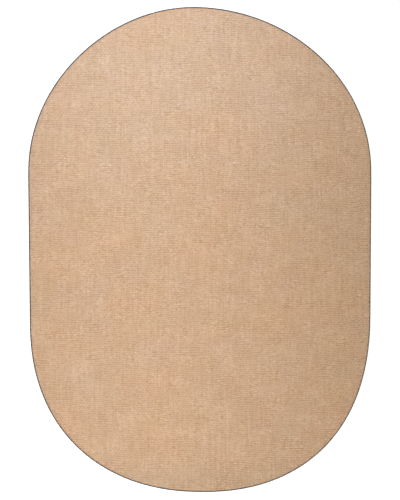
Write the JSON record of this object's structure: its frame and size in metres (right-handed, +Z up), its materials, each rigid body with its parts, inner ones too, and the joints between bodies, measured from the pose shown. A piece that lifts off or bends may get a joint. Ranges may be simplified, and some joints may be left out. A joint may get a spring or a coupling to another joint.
{
  "type": "oval tufted rug",
  "caption": "Flat oval area rug with a short dense pile in fine rows and a narrow dark serged edge; lies flat on the floor.",
  "frame": {"origin": "middle of the rug's bounding box, on the floor under the rug", "axes": "+Z up out of the pile, +Y along the rug's length towards the rounder end, +X across it"},
  "size_m": [1.514, 2.141, 0.012],
  "materials": {
    "pile": "matte short pile in fine rows, warm sand beige",
    "serging": "matte oversewn yarn, dark grey-brown"
  },
  "bodies": {
    "root": {"rug_body": "pile", "serged_edge": "serging"}
  },
  "joints": []
}
